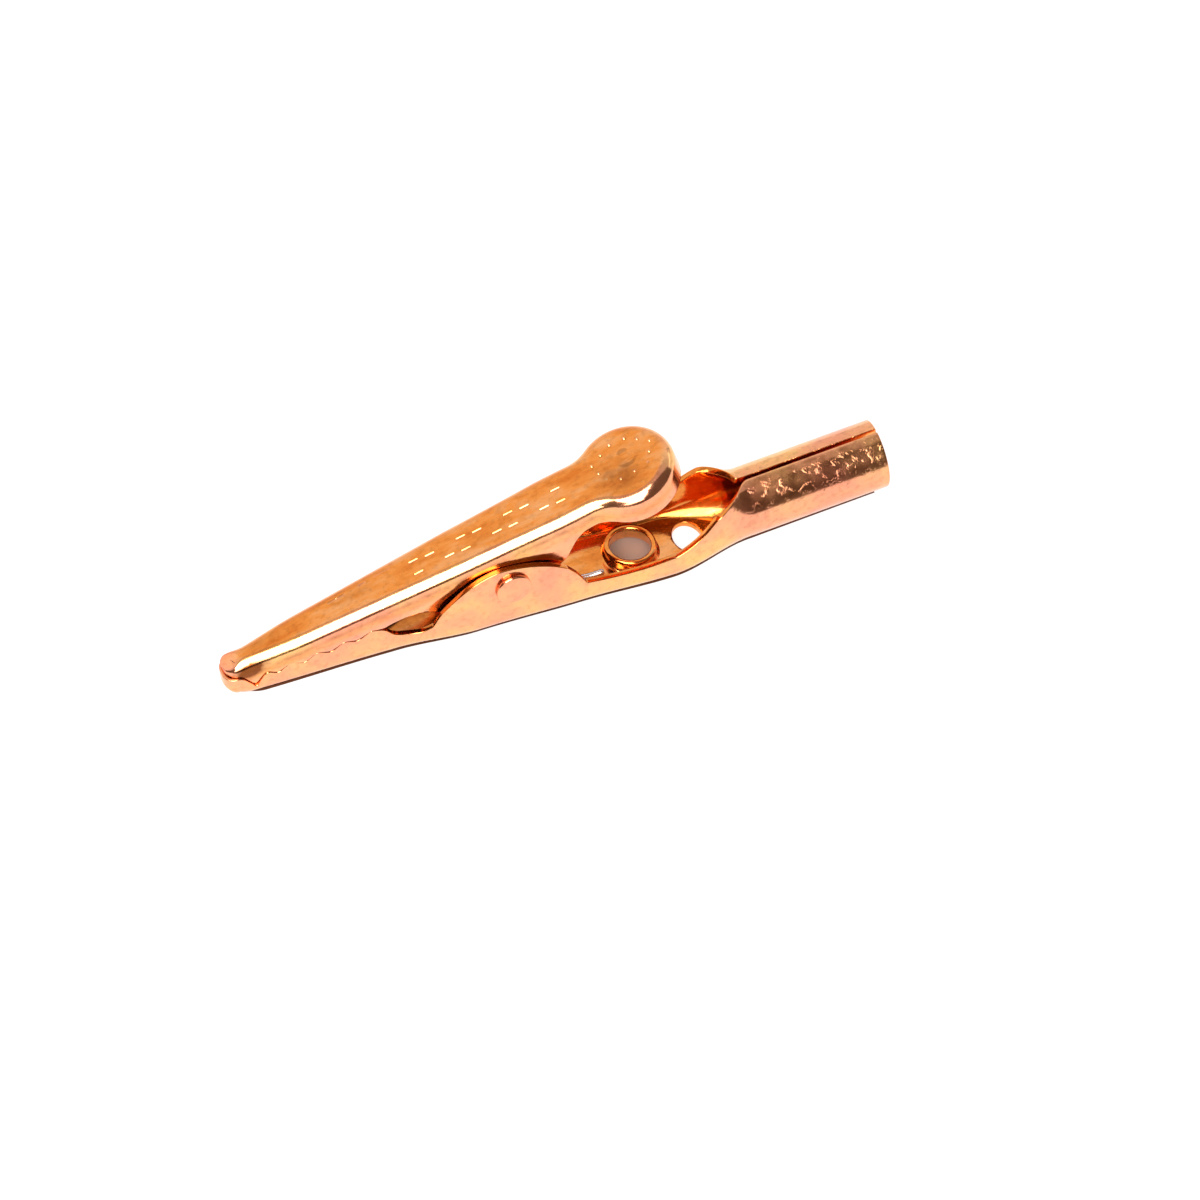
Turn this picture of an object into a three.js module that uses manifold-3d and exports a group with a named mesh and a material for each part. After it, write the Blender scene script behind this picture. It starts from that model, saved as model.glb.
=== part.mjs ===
// A two-inch copper alligator clip, jaws closed, lying on its underside. Millimetres, +Z up.
// The tip points to -X and the wire barrel to +X. Z = 0 is the table. The finished clip is centred on X = 0.
import * as THREE from "three";
import { mergeVertices } from "three/addons/utils/BufferGeometryUtils.js";
import Module from "manifold-3d";

// ---- Driving dimensions ----
const SHEET = 0.55; // thickness of the stamped sheet
const TIP_X = -25.3; // front of the nose
const END_X = 25; // open end of the barrel
const PIVOT = { x: -4.05, z: 4.75 };
const FOLD_ROUND = 0.85; // outer radius of every folded edge
const FOLD_TOP = 9; // height that the lower walls are folded up to before trimming

// Lower jaw: half-widths of its outer skin
const NOSE_HALF = 1.12;
const THROAT = { x: -13, half: 1.72 }; // here the cheeks start to flare
const CHEEK = { x: -8, half: 2.96, lean: 0.045, leanFrom: 3 }; // ears lean in above leanFrom
const BODY = { x: 3, endX: 8.2, half: 3.05 }; // widest stretch, behind the ears
const BARREL = { x: 14.6, radius: 2.52, axisZ: 2.52, endAxisZ: 3.15, seam: 0.4 };
// Underside as [X, Z], from the nose's chin to the barrel's neck
const UNDERSIDE = [[-25.3, 0.5], [-23.4, 0], [-13, 0.28], [-7, 0.95], [1, 0.7], [8.2, 0.25], [14.6, 0]];

// Teeth: both jaws share one wavy parting line
const TOOTH_COUNT = 5;
const FIRST_ROOT = { x: -23.41, z: 1.22 };
const FIRST_ROOT_DROP = 0.4; // the front notch is deeper than the others
const ROOT_STEP = { x: 1.98, z: 0.384 };
const FIRST_CREST = { x: -22.48, z: 2.15 };
const CREST_STEP = { x: 2.015, z: 0.329 };
const NOSE_PARTING_Z = 2.2;
const PARTING_GAP = 0.14;

// Side outline of the lower jaw behind the teeth, as [X, Z]
const LOWER_WIRE_GAP = [[-13.6, 3.1], [-12.6, 2.3], [-11.4, 2.15], [-10.6, 2.85]];
const LOWER_EAR = [[-9.1, 4.45], [-7.3, 6.08], [-5.25, 6.76], [-3.15, 6.62], [-1.3, 5.95], [0.1, 5.15]];
const LOWER_EAR_BACK = [[0.85, 4.05], [1.45, 2.88]];
const LOWER_RAIL = [[3.5, 2.68], [6, 2.5], [8.4, 2.62]];
const LOWER_RISE = [[9.7, 3.15], [11.7, 4.4], [13, 4.75], [14.4, 5.2]];

// Upper jaw
const UPPER_TIP_X = -25.25;
const TOP_SLOPE = Math.atan(0.259);
const TOP_AT_ORIGIN = 9.42; // height of the top plane at X = 0
const ARM = { halfAtPivot: 2.16, taper: 0.053 }; // taper is half-width gained per mm of X
const PAD = { x: 5.6, radius: 3.65, neckRound: 3 };
const UPPER_EAR_RADIUS = 2.15;
const UPPER_WIRE_GAP = [[-13.5, 3.35], [-12.9, 3.6], [-11.8, 3.9], [-10.7, 3.85], [-9.5, 3.4], [-7.6, 2.8]];
const UPPER_REAR = [[-0.8, 4.6], [0.15, 5.3], [0.65, 6.2], [1.05, 7.1], [1.7, 7.9], [2.7, 8.25]];
const UPPER_SKIRT = [[5.6, 8.5], [10.6, 9.6]];

// Floor holes: one drawn up into a collar, one plain
const COLLAR = { x: 5.85, innerRadius: 1.5, wall: 0.32, height: 0.95 };
const PLAIN_HOLE = { x: 10.2, halfLength: 1.05, halfWidth: 1.4 };

// Rivet and spring
const RIVET = { shank: 0.85, head: 1.3, proud: 0.45, round: 0.22 };
const RIVET_CLEARANCE = 0.3;
const SPRING = { wire: 0.5, pitch: 0.58, turns: 3, coilRadius: 1.45, splay: 0.5, lift: 0.05 };
const LOWER_LEG_X = 3.3;
const UPPER_LEG_X = 3.2;

const COPPER = { color: 0xd9824a, roughness: 0.25, metalness: 1 };
const STEEL = { color: 0xc9ccd0, roughness: 0.25, metalness: 1 };

// ---- Helpers ----
const wasm = await Module();
wasm.setup();

function solid(geometry) {
  const bare = geometry.clone();
  bare.deleteAttribute("normal");
  bare.deleteAttribute("uv");
  const merged = mergeVertices(bare, 1e-4);
  return new wasm.Manifold(
    new wasm.Mesh({
      numProp: 3,
      vertProperties: merged.attributes.position.array,
      triVerts: new Uint32Array(merged.index.array),
    }),
  );
}

function meshOf(name, manifold, look) {
  const { vertProperties, triVerts } = manifold.getMesh();
  const geometry = new THREE.BufferGeometry();
  geometry.setAttribute("position", new THREE.BufferAttribute(vertProperties, 3));
  geometry.setIndex(new THREE.BufferAttribute(triVerts, 1));
  geometry.computeVertexNormals();
  const mesh = new THREE.Mesh(geometry, new THREE.MeshStandardMaterial(look));
  mesh.name = name;
  return mesh;
}

const toVector = ([x, y]) => new THREE.Vector2(x, y);
const straight = (x, x0, x1, a, b) => a + ((b - a) * (x - x0)) / (x1 - x0);

// Eases from a to b as x goes from x0 to x1, and holds them beyond.
function eased(x, x0, x1, a, b) {
  const t = THREE.MathUtils.smoothstep(x, x0, x1);
  return a + (b - a) * t;
}

function spaced(from, to, count) {
  return Array.from({ length: count }, (_, i) => straight(i, 0, count - 1, from, to));
}

// A closed outline in X and Z as a prism right across the part.
function sidePrism(shape) {
  const halfDepth = 6;
  const options = { depth: 2 * halfDepth, bevelEnabled: false, curveSegments: 6 };
  const prism = new THREE.ExtrudeGeometry(shape, options);
  return solid(prism.rotateX(Math.PI / 2).translate(0, halfDepth, 0));
}

function pivotBore() {
  const radius = RIVET.shank + RIVET_CLEARANCE;
  return solid(new THREE.CylinderGeometry(radius, radius, 12, 32).translate(PIVOT.x, 0, PIVOT.z));
}

// The parting line from the nose to the last tooth, raised by `lift`.
function partingLine(lift) {
  const points = [
    [TIP_X - 1, NOSE_PARTING_Z + lift],
    [FIRST_ROOT.x - 1, NOSE_PARTING_Z + lift],
  ];
  for (let i = 0; i < TOOTH_COUNT; i++) {
    const drop = i === 0 ? FIRST_ROOT_DROP : 0;
    points.push([FIRST_ROOT.x + i * ROOT_STEP.x, FIRST_ROOT.z + i * ROOT_STEP.z - drop + lift]);
    points.push([FIRST_CREST.x + i * CREST_STEP.x, FIRST_CREST.z + i * CREST_STEP.z + lift]);
  }
  return points;
}

// ---- Lower jaw: a closed tube lofted along X, then trimmed to the side outline ----
function undersideAt(x) {
  const i = Math.max(1, UNDERSIDE.findIndex(([stop]) => stop >= x));
  const [[x0, z0], [x1, z1]] = [UNDERSIDE[i - 1], UNDERSIDE[i]];
  return eased(x, x0, x1, z0, z1);
}

function outerHalf(x) {
  if (x < THROAT.x) return straight(x, TIP_X, THROAT.x, NOSE_HALF, THROAT.half);
  if (x < CHEEK.x) return eased(x, THROAT.x, CHEEK.x, THROAT.half, CHEEK.half);
  if (x < BODY.endX) return eased(x, PIVOT.x, BODY.x, CHEEK.half, BODY.half);
  return eased(x, BODY.endX, BARREL.x, BODY.half, BARREL.radius);
}

// The outer skin's section at x: a rounded rectangle that turns into the barrel's circle.
function sectionAt(x) {
  const half = outerHalf(x);
  if (x > BARREL.x) {
    const axis = straight(x, BARREL.x, END_X, BARREL.axisZ, BARREL.endAxisZ);
    return { half, floor: axis - half, ceiling: axis + half, corner: half, lean: 0 };
  }
  const ceiling = eased(x, BODY.endX, BARREL.x, FOLD_TOP, BARREL.axisZ + BARREL.radius);
  const corner = eased(x, BODY.endX, BARREL.x, FOLD_ROUND, BARREL.radius);
  const frontLean = eased(x, THROAT.x, CHEEK.x, 0, CHEEK.lean);
  const lean = Math.min(frontLean, eased(x, 1, BODY.x, CHEEK.lean, 0));
  return { half, floor: undersideAt(x), ceiling, corner, lean };
}

// Point number `turn` of a rounded rectangle: each corner arc takes a quarter of the points.
const RING_POINTS = 40;
function sectionPoint(turn, { half, floor, ceiling, corner, lean }) {
  const quarter = RING_POINTS / 4;
  const index = (turn + RING_POINTS) % RING_POINTS;
  const side = Math.floor(index / quarter);
  const angle = ((index % quarter) / (quarter - 1) + side) * (Math.PI / 2);
  const [right, up] = [[1, 1], [-1, 1], [-1, -1], [1, -1]][side];
  const z = (floor + ceiling) / 2 + up * ((ceiling - floor) / 2 - corner) + corner * Math.sin(angle);
  const y = right * (half - corner) + corner * Math.cos(angle);
  return { y: y - Math.sign(y) * lean * Math.max(0, z - CHEEK.leanFrom), z };
}

// A CylinderGeometry whose rings take the section of each station, drawn in by `inset`.
function tube(stations, inset) {
  const rings = stations.length - 1;
  const geometry = new THREE.CylinderGeometry(1, 1, 1, RING_POINTS, rings);
  const position = geometry.attributes.position;
  const point = new THREE.Vector3();
  for (let i = 0; i < position.count; i++) {
    point.fromBufferAttribute(position, i);
    const { x, pinch } = stations[Math.round((0.5 - point.y) * rings)];
    const outer = sectionAt(x);
    const half = outer.half - inset - pinch;
    const floor = outer.floor + inset + pinch;
    const ceiling = outer.ceiling - inset;
    const corner = Math.min(Math.max(outer.corner - inset, 0.2), half, (ceiling - floor) / 2);
    const isCapCentre = Math.hypot(point.x, point.z) < 0.5;
    const turn = Math.round((Math.atan2(point.x, point.z) / (2 * Math.PI)) * RING_POINTS);
    const rim = sectionPoint(turn, { half, floor, ceiling, corner, lean: outer.lean });
    if (isCapCentre) position.setXYZ(i, x, 0, (floor + ceiling) / 2);
    else position.setXYZ(i, x, -rim.y, rim.z);
  }
  return solid(geometry);
}

// Stations from the rounded nose to endX, closest together where the section changes fastest.
function lowerTube(inset, endX) {
  const round = 0.5 - inset / 2;
  const nose = spaced(0, Math.PI / 2, 4).map((angle) => ({
    x: TIP_X + inset + round * (1 - Math.cos(angle)),
    pinch: round * (1 - Math.sin(angle)),
  }));
  const front = [-23.9, ...spaced(UNDERSIDE[1][0], -13.5, 6), ...spaced(THROAT.x, -7.5, 9)];
  const rear = [...spaced(-6, 7, 6), ...spaced(BODY.endX, BARREL.x, 10), 19, endX];
  const plain = [...front, ...rear].map((x) => ({ x, pinch: 0 }));
  return tube([...nose, ...plain], inset);
}

function lowerOutline() {
  const shape = new THREE.Shape();
  shape.moveTo(TIP_X - 1, -1);
  for (const [x, z] of partingLine(0)) shape.lineTo(x, z);
  for (const curve of [LOWER_WIRE_GAP, LOWER_EAR, LOWER_EAR_BACK, LOWER_RAIL, LOWER_RISE]) {
    shape.splineThru(curve.map(toVector));
  }
  const above = BARREL.endAxisZ + 2 * BARREL.radius;
  shape.lineTo(BARREL.x, above);
  shape.lineTo(END_X + 1, above);
  shape.lineTo(END_X + 1, -1);
  return shape;
}

function floorHole(x, halfLength, halfWidth) {
  const bore = new THREE.CylinderGeometry(1, 1, 3, 32).rotateX(Math.PI / 2);
  return solid(bore.scale(halfLength, halfWidth, 1).translate(x, 0, undersideAt(x)));
}

function collar() {
  const { x, innerRadius: inner, wall, height } = COLLAR;
  const sunk = -SHEET / 2;
  const profile = [
    [inner, sunk],
    [inner + wall, sunk],
    [inner + wall, height],
    [inner, height],
    [inner, sunk],
  ];
  const ring = new THREE.LatheGeometry(profile.map(toVector), 32).rotateX(Math.PI / 2);
  return solid(ring.translate(x, 0, undersideAt(x) + SHEET));
}

function lowerJaw() {
  const walls = lowerTube(0, END_X).subtract(lowerTube(SHEET, END_X + 1));
  const slit = new THREE.BoxGeometry(END_X - 12, BARREL.seam, 4);
  const openTop = BARREL.axisZ + BARREL.radius + 1;
  return walls
    .intersect(sidePrism(lowerOutline()))
    .subtract(solid(slit.translate((END_X + 14) / 2, 0, openTop)))
    .subtract(floorHole(COLLAR.x, COLLAR.innerRadius, COLLAR.innerRadius))
    .add(collar())
    .subtract(floorHole(PLAIN_HOLE.x, PLAIN_HOLE.halfLength, PLAIN_HOLE.halfWidth))
    .subtract(pivotBore());
}

// ---- Upper jaw: a plan outline folded down all round, then trimmed to the side outline ----
// The plan lies in the sloping plane of the top: u runs up the slope from X = 0 and v across.
const COS_SLOPE = Math.cos(TOP_SLOPE);
const TAPER_U = ARM.taper * COS_SLOPE;
const armHalf = (u) => ARM.halfAtPivot + ARM.taper * (u * COS_SLOPE - PIVOT.x);

// The plan outline, drawn `inset` inside the outer edge: nose, arm, neck fillets and round pad.
function planShape(inset) {
  const tipU = UPPER_TIP_X / COS_SLOPE + inset;
  const corner = FOLD_ROUND + 0.05 - inset;
  const noseHalf = armHalf(tipU) - inset;
  const padU = PAD.x / COS_SLOPE;
  const padRadius = PAD.radius - inset;
  const neckRound = PAD.neckRound + inset;
  // The neck's fillet lies outside both the arm's edge and the pad's circle, and touches them.
  const reach = padRadius + neckRound;
  const offset = armHalf(padU) - inset + neckRound * Math.hypot(1, TAPER_U);
  const a = 1 + TAPER_U ** 2;
  const back = (-offset * TAPER_U - Math.sqrt(a * reach ** 2 - offset ** 2)) / a;
  const neck = { u: padU + back, v: Math.sqrt(reach ** 2 - back ** 2) };
  const meet = Math.atan2(neck.v, back);

  const shape = new THREE.Shape();
  shape.moveTo(tipU, corner - noseHalf);
  shape.absarc(tipU + corner, corner - noseHalf, corner, Math.PI, 1.5 * Math.PI, false);
  shape.lineTo(neck.u, neckRound - neck.v);
  shape.absarc(neck.u, -neck.v, neckRound, Math.PI / 2, Math.PI - meet, true);
  shape.absarc(padU, 0, padRadius, -meet, meet, false);
  shape.absarc(neck.u, neck.v, neckRound, meet - Math.PI, -Math.PI / 2, true);
  shape.lineTo(tipU + corner, noseHalf);
  shape.absarc(tipU + corner, noseHalf - corner, corner, Math.PI / 2, Math.PI, false);
  return shape;
}

// The plan raised to a block with rounded edges, its top `inset` below the sloping plane.
function planBlock(inset, height) {
  const bevel = FOLD_ROUND - inset;
  const block = new THREE.ExtrudeGeometry(planShape(inset), {
    depth: height - 2 * bevel,
    bevelThickness: bevel,
    bevelSize: bevel,
    bevelOffset: -bevel,
    bevelSegments: 4,
    curveSegments: 10,
  });
  block.translate(0, 0, bevel - height - inset).rotateY(-TOP_SLOPE).translate(0, 0, TOP_AT_ORIGIN);
  return solid(block);
}

function upperOutline() {
  const above = 2 * FOLD_TOP;
  const shape = new THREE.Shape();
  shape.moveTo(TIP_X - 1, above);
  for (const [x, z] of partingLine(PARTING_GAP)) shape.lineTo(x, z);
  shape.splineThru(UPPER_WIRE_GAP.map(toVector));
  shape.absarc(PIVOT.x, PIVOT.z, UPPER_EAR_RADIUS, -0.6 * Math.PI, -0.1 * Math.PI, false);
  shape.splineThru(UPPER_REAR.map(toVector));
  shape.splineThru(UPPER_SKIRT.map(toVector));
  shape.lineTo(PAD.x + 2 * PAD.radius, above);
  return shape;
}

function upperJaw() {
  const shell = planBlock(0, 16).subtract(planBlock(SHEET, 18));
  return shell.intersect(sidePrism(upperOutline())).subtract(pivotBore());
}

// ---- Rivet: one shank through both pairs of ears, with a head outside each lower ear ----
function rivet() {
  const { shank, head, proud, round } = RIVET;
  const shoulder = CHEEK.half;
  const end = shoulder + proud;
  const half = [
    [0, end],
    [head - round, end],
    [head - 0.3 * round, end - 0.3 * round],
    [head, end - round],
    [head, shoulder],
    [shank, shoulder],
  ];
  const mirrored = half.map(([radius, y]) => [radius, -y]);
  const profile = [...mirrored, ...half.reverse()].map(toVector);
  return solid(new THREE.LatheGeometry(profile, 32).translate(PIVOT.x, 0, PIVOT.z));
}

// ---- Torsion spring: a coil round the rivet, one leg on the floor, one under the arm ----
function spring() {
  const { wire, pitch, turns, coilRadius, splay, lift } = SPRING;
  const side = (turns * pitch) / 2;
  const rest = SHEET + wire / 2 + lift;
  const floor = undersideAt(LOWER_LEG_X) + rest;
  const roof = (x) => TOP_AT_ORIGIN + x * Math.tan(TOP_SLOPE) - rest / COS_SLOPE;
  const points = [
    new THREE.Vector3(LOWER_LEG_X, -side - splay, floor),
    new THREE.Vector3(LOWER_LEG_X - 2.2, -side - 0.7 * splay, floor + lift),
  ];
  // The wire leaves the bottom of the coil, winds `turns` and a half times and leaves its top.
  for (const angle of spaced(-Math.PI / 2, -Math.PI / 2 - (2 * turns + 1) * Math.PI, 14 * turns)) {
    const progress = (-Math.PI / 2 - angle) / ((2 * turns + 1) * Math.PI);
    const x = PIVOT.x + coilRadius * Math.cos(angle);
    const z = PIVOT.z + coilRadius * Math.sin(angle);
    points.push(new THREE.Vector3(x, side * (2 * progress - 1), z));
  }
  points.push(new THREE.Vector3(UPPER_LEG_X - 2, side, roof(UPPER_LEG_X - 2)));
  points.push(new THREE.Vector3(UPPER_LEG_X, side, roof(UPPER_LEG_X)));
  const extrudePath = new THREE.CatmullRomCurve3(points, false, "centripetal");
  const circle = new THREE.Shape().absarc(0, 0, wire / 2, 0, 2 * Math.PI, false);
  const options = { steps: 120, curveSegments: 4, bevelEnabled: false, extrudePath };
  return solid(new THREE.ExtrudeGeometry(circle, options));
}

const clip = new THREE.Group();
clip.position.x = -(TIP_X + END_X) / 2;
clip.add(
  meshOf("lower_jaw", lowerJaw(), COPPER),
  meshOf("upper_jaw", upperJaw(), COPPER),
  meshOf("pivot_rivet", rivet(), COPPER),
  meshOf("torsion_spring", spring(), STEEL),
);

export default clip;
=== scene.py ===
"""A two-inch copper alligator clip: fine sheet-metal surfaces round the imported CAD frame.

Shapes are worked out in millimetres, X from the nose to the barrel as the CAD source lays them out,
and moved and scaled to the frame's metres only when a mesh is made.
"""

import math

import bmesh
import bpy
import numpy as np
from mathutils import Matrix, Vector
from mathutils.geometry import delaunay_2d_cdt

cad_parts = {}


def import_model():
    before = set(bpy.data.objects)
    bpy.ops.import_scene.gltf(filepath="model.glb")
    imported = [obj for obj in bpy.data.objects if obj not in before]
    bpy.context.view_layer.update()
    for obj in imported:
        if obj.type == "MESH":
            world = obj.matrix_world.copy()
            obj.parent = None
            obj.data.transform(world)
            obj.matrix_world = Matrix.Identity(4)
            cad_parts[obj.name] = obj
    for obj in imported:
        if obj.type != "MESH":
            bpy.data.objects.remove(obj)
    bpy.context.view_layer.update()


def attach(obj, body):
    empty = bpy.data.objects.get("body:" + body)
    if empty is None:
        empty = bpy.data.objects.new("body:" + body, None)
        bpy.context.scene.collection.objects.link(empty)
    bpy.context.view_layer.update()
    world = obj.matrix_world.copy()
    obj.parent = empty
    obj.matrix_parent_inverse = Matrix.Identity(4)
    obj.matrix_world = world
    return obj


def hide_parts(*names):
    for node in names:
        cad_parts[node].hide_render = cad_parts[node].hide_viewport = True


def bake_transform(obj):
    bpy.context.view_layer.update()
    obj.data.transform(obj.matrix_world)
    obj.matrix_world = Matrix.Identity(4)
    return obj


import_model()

# ---- Dimensions, in millimetres, as in the CAD source ----
MM = 0.001
SHEET = 0.55
LOWER_SHEET = 0.46
TIP_X, END_X = -25.3, 25.0
BARREL_END = END_X - 0.03
CENTRING = -(TIP_X + END_X) / 2
PIVOT_X, PIVOT_Z = -4.05, 4.75
FOLD = 0.85
ARM_FOLD = 1.0
FOLD_TOP = 9.0

NOSE_HALF = 1.12
THROAT_X, THROAT_HALF = -13.0, 1.72
CHEEK_X, CHEEK_HALF = -6.7, 2.96
LEAN, LEAN_FROM = 0.045, 3.0
BODY_X, BODY_END_X, BODY_HALF = 3.0, 8.2, 3.05
BARREL_X, BARREL_RADIUS = 14.6, 2.52
BARREL_AXIS_Z, BARREL_END_AXIS_Z = 2.52, 3.15
SEAM_HALF = 0.16
UNDERSIDE = [(-25.3, 0.5), (-23.4, 0), (-13, 0.28), (-7, 0.95), (1, 0.7), (8.2, 0.25), (14.6, 0)]

# Parting line of the teeth, and the lower jaw's edge behind it
ROOTS = [(-23.08, 0.84), (-21.43, 1.66), (-19.45, 1.98), (-17.47, 2.36), (-15.49, 2.75)]
CRESTS = [(-22.25, 2.13), (-20.46, 2.46), (-18.5, 2.8), (-16.46, 3.13), (-14.42, 3.46)]
NOSE_PARTING_Z = 2.14
PARTING_GAP = 0.01
WIRE_GAP = [(-13.5, 3.1), (-12.7, 2.3), (-11.8, 2.05), (-10.8, 2.05), (-10, 2.5)]
EAR = [(-9.1, 4.1), (-7.3, 5.88), (-5.2, 6.65), (-3.1, 6.44), (-1.2, 5.77), (0.1, 4.98)]
EAR_BACK = [(0.85, 4.0), (1.45, 2.88)]
RAIL = [(3.5, 2.58), (6, 2.4), (8.4, 2.52)]
FAR_RISE = [(9.7, 3.15), (11.7, 4.4), (13, 4.75), (14.4, 5.2)]
# The near side's rise to the barrel, as x and the distance round the section
NEAR_RISE = [(9.7, 5.4), (10.66, 5.86), (11.72, 6.62), (12.5, 6.74)]
NEAR_RISE += [(13.1, 6.8), (13.78, 7.04), (14.45, 7.58)]
NEAR_LIP_X = 14.8

# Front of the lower jaw: where its cap starts, how square the cap is, and how far its chin rises
CAP_X = -24.3
CAP_LENGTH = CAP_X - TIP_X
CAP_POWER = 2.5
CHIN_LIFT = 1.0

# Upper jaw
TOP_SLOPE = math.atan(0.259)
COS_SLOPE, SIN_SLOPE = math.cos(TOP_SLOPE), math.sin(TOP_SLOPE)
TOP_AT_ORIGIN = 9.42
UPPER_TIP_X = -25.25
ARM_HALF_AT_PIVOT, ARM_TAPER = 2.16, 0.053
TAPER_U = ARM_TAPER * COS_SLOPE
PAD_X, PAD_RADIUS, NECK_ROUND = 5.6, 3.65, 3.0
PAD_U = PAD_X / COS_SLOPE
NOSE_U = UPPER_TIP_X / COS_SLOPE
NOSE_FOLD, FAR_NOSE_CORNER, NEAR_NOSE_CORNER = 0.5, 0.6, 0.9
ARM_FLARE, FLARE_FROM, FLARE_TO, FLARE_BLEND = 0.25, 1.4, 3.4, 0.4
PRESS_X, PRESS_Z, PRESS_SLOPE, PRESS_SKEW, PRESS_BLEND = -23.85, 3.25, 0.632, 0.018, 0.05
UPPER_EAR_RADIUS = 2.15
UPPER_WIRE_GAP = [(-13.5, 3.35), (-12.9, 3.6), (-11.8, 3.9), (-10.7, 3.85), (-9.5, 3.4), (-7.6, 2.8)]
UPPER_REAR = [(-0.8, 4.6), (0.15, 5.3), (0.65, 6.2), (1.05, 7.1), (1.7, 7.9), (2.7, 8.25)]
UPPER_SKIRT = [(5.6, 8.5), (10.6, 9.6)]

# Small relief on the top of the upper jaw, at u along its slope and v across it
PAD_HOLLOW, PAD_HOLLOW_RADIUS = 0.1, 2.0
DIMPLE_U, DIMPLE_V = PAD_U + 0.35, 0.6
DIMPLE_RADIUS, DIMPLE_WIDTH, DIMPLE_HEIGHT = 0.68, 0.28, 0.08
DOT_COUNT, DOT_RADIUS, DOT_DEPTH = 12, 0.11, 0.085
DOT_RING_U, DOT_RING_V = 2.15, 1.6
RING_U, RING_V = PAD_U + 0.15, 0.42
MARK_DEPTH, MARK_HALF_WIDTH = 0.06, 0.1
DASH_FIRST_U, DASH_STEP, DASH_COUNT, DASH_LENGTH = -10.9, 1.25, 10, 0.65
SCRATCHES = [((-13.6, 0.95), (-12.3, 1.02)), ((-17.3, 0.62), (-16.0, 0.72))]
SCRATCHES += [((-14.9, 0.8), (-14.3, 0.86))]
MARKED_LOW, MARKED_HIGH = (-17.6, -1.2), (1.3, 1.2)

# Dark patches on the top: where along it, where across, half length, half width and strength
SMUDGES = [
    (PAD_U - 0.67, -0.9, 1.5, 1.3, 0.65),
    (-15.4, 0.25, 1.3, 0.45, 0.3),
    (-22.6, 0.2, 1.6, 0.4, 0.3),
    (-5.5, -0.5, 2.5, 0.4, 0.15),
]

# Floor holes
COLLAR_X, COLLAR_INNER, COLLAR_WALL, COLLAR_HEIGHT = 5.85, 1.5, 0.42, 1.5
COLLAR_BEND = 0.7
COLLAR_REACH = COLLAR_INNER + COLLAR_BEND
COLLAR_LENGTH = COLLAR_BEND * math.pi / 2 + COLLAR_HEIGHT - COLLAR_BEND
COLLAR_SQUEEZE = COLLAR_LENGTH / (COLLAR_REACH - COLLAR_INNER)
PLAIN_X, PLAIN_HALF_LENGTH, PLAIN_HALF_WIDTH = 10.2, 1.05, 1.4

# Rivet and spring
RIVET_SHANK, RIVET_HEAD, RIVET_PROUD, RIVET_CROWN, RIVET_CORNER = 0.85, 1.3, 0.24, 0.03, 0.1
BORE_RADIUS = 1.0
SPRING_WIRE, SPRING_PITCH, SPRING_TURNS, COIL_RADIUS = 0.5, 0.58, 3, 1.45
SPRING_SPLAY, LOWER_LEG_X, UPPER_LEG_X = 0.5, 3.3, 3.2

# Mesh detail
EDGE_ROUND = 0.06
EDGE_RINGS = [0.134 * EDGE_ROUND, 0.5 * EDGE_ROUND, EDGE_ROUND]
BOUNDARY_STEP = 0.12
OUTLINE_STEP = 0.02
CIRCLE_COUNT = 72
FAR_FROM_EDGE = 9.0

# Stage: half the table in metres, and how the contact shade keeps inside the clip's outline
TABLE_HALF = 0.7
SHADE_INSET, SHADE_SLOPE = 0.2, 0.915

# ---- Small helpers on arrays ----
def eased(x, x0, x1, a, b):
    """Goes smoothly from a at x0 to b at x1, and stays level outside them."""
    t = np.clip((x - x0) / (x1 - x0), 0, 1)
    return a + (b - a) * t * t * (3 - 2 * t)


def straight(x, x0, x1, a, b):
    """The straight line through a at x0 and b at x1."""
    return a + (b - a) * (x - x0) / (x1 - x0)


def spline(points, per_span=12):
    """A uniform Catmull-Rom curve through the points, the last point included."""
    p = np.array(points, float)
    ends = np.vstack([p[0], p, p[-1]])
    out = []
    for i in range(len(p) - 1):
        a, b, c, d = ends[i : i + 4]
        for t in np.arange(per_span) / per_span:
            v0, v1 = (c - a) / 2, (d - b) / 2
            cubic = (2 * b - 2 * c + v0 + v1) * t**3
            out.append(cubic + (-3 * b + 3 * c - 2 * v0 - v1) * t**2 + v0 * t + b)
    return np.vstack([out, p[-1:]])


def resampled(points, step):
    """The polyline cut into equal steps of about `step`."""
    p = np.array(points, float)
    along = np.concatenate([[0], np.cumsum(np.linalg.norm(np.diff(p, axis=0), axis=1))])
    count = max(2, int(round(along[-1] / step)) + 1)
    stops = np.linspace(0, along[-1], count)
    return np.stack([np.interp(stops, along, p[:, k]) for k in range(p.shape[1])], axis=1)


def softened(points, passes):
    """Rounds the corners of an evenly spaced open polyline; its ends stay."""
    p = points.copy()
    for _ in range(passes):
        p[1:-1] = (p[:-2] + 2 * p[1:-1] + p[2:]) / 4
    return p


def unit_circle():
    """Points of the unit circle, anticlockwise from its +x side."""
    turn = np.linspace(0, 2 * math.pi, CIRCLE_COUNT + 1)[:-1]
    return np.stack([np.cos(turn), np.sin(turn)], axis=1)


def up_to_edge(stops, end):
    """The stops and, close before the cut edge at `end`, those that round it."""
    return np.concatenate([stops, end - np.array(EDGE_RINGS[1::-1])])


# ---- Lower jaw: its outer skin as a function of x and the distance s round the section ----
def underside(x):
    """Height of the lower jaw's underside at x."""
    z = np.full_like(x, UNDERSIDE[0][1])
    for (x0, z0), (x1, z1) in zip(UNDERSIDE, UNDERSIDE[1:]):
        z = np.where(x > x0, eased(x, x0, x1, z0, z1), z)
    return z


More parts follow.
